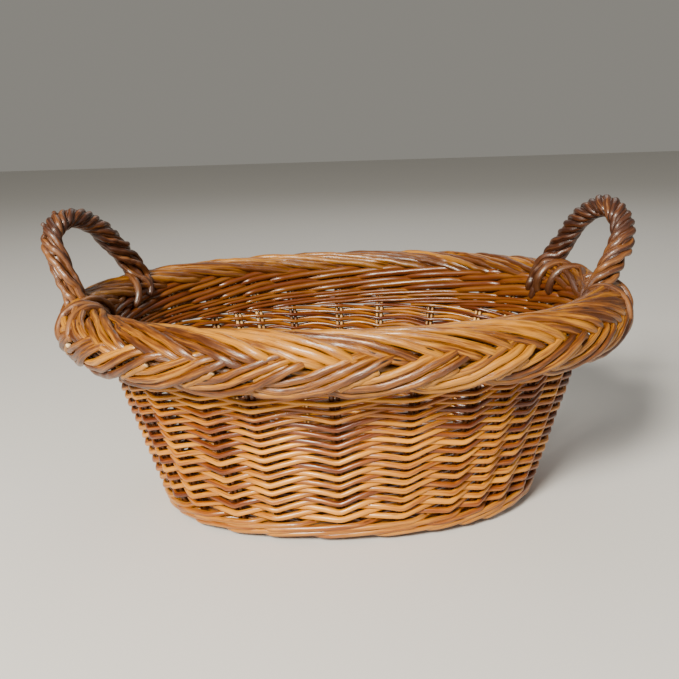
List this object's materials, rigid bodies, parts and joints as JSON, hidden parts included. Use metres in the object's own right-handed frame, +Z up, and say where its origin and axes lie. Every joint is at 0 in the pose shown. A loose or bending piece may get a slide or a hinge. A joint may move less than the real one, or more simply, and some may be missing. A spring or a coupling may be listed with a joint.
{
  "type": "woven wicker basket",
  "caption": "Oval varnished willow basket with flared woven sides, a thick plaited border and a roped loop handle at each end.",
  "frame": {"origin": "centre of the underside, in the plane that the basket rests on", "axes": "+X from end to end through the two handles (longest side), +Y across the basket towards the back, +Z up"},
  "size_m": [0.5252, 0.412, 0.2674],
  "materials": {
    "weavers": "glossy varnish, honey amber willow",
    "stakes": "glossy varnish, pale willow",
    "border_rods": "glossy varnish, golden brown willow with bark streaks",
    "handle_rods": "satin varnish, dark reddish brown willow",
    "base_sticks": "satin, plain willow"
  },
  "bodies": {
    "root": {"base_long_stick_1": "base_sticks", "base_long_stick_2": "base_sticks", "base_long_stick_3": "base_sticks", "base_cross_stick_1": "base_sticks", "base_cross_stick_2": "base_sticks", "base_cross_stick_3": "base_sticks", "base_cross_stick_4": "base_sticks", "base_cross_stick_5": "base_sticks", "base_cross_stick_6": "base_sticks", "base_cross_stick_7": "base_sticks", "base_weave": "weavers", "upsett_wale": "weavers", "side_weave": "weavers", "top_wale": "weavers", "stake_pair_01": "stakes", "stake_pair_02": "stakes", "stake_pair_03": "stakes", "stake_pair_04": "stakes", "stake_pair_05": "stakes", "stake_pair_06": "stakes", "stake_pair_07": "stakes", "stake_pair_08": "stakes", "stake_pair_09": "stakes", "stake_pair_10": "stakes", "stake_pair_11": "stakes", "stake_pair_12": "stakes", "stake_pair_13": "stakes", "stake_pair_14": "stakes", "stake_pair_15": "stakes", "stake_pair_16": "stakes", "stake_pair_17": "stakes", "stake_pair_18": "stakes", "stake_pair_19": "stakes", "stake_pair_20": "stakes", "stake_pair_21": "stakes", "stake_pair_22": "stakes", "stake_pair_23": "stakes", "stake_pair_24": "stakes", "stake_pair_25": "stakes", "stake_pair_26": "stakes", "stake_pair_27": "stakes", "stake_pair_28": "stakes", "border_strand_a": "border_rods", "border_strand_b": "border_rods", "border_strand_c": "border_rods", "left_handle_bow": "handle_rods", "right_handle_bow": "handle_rods", "left_handle_wrap_a": "handle_rods", "left_handle_wrap_b": "handle_rods", "left_handle_wrap_c": "handle_rods", "left_handle_wrap_d": "handle_rods", "right_handle_wrap_a": "handle_rods", "right_handle_wrap_b": "handle_rods", "right_handle_wrap_c": "handle_rods", "right_handle_wrap_d": "handle_rods"}
  },
  "joints": []
}
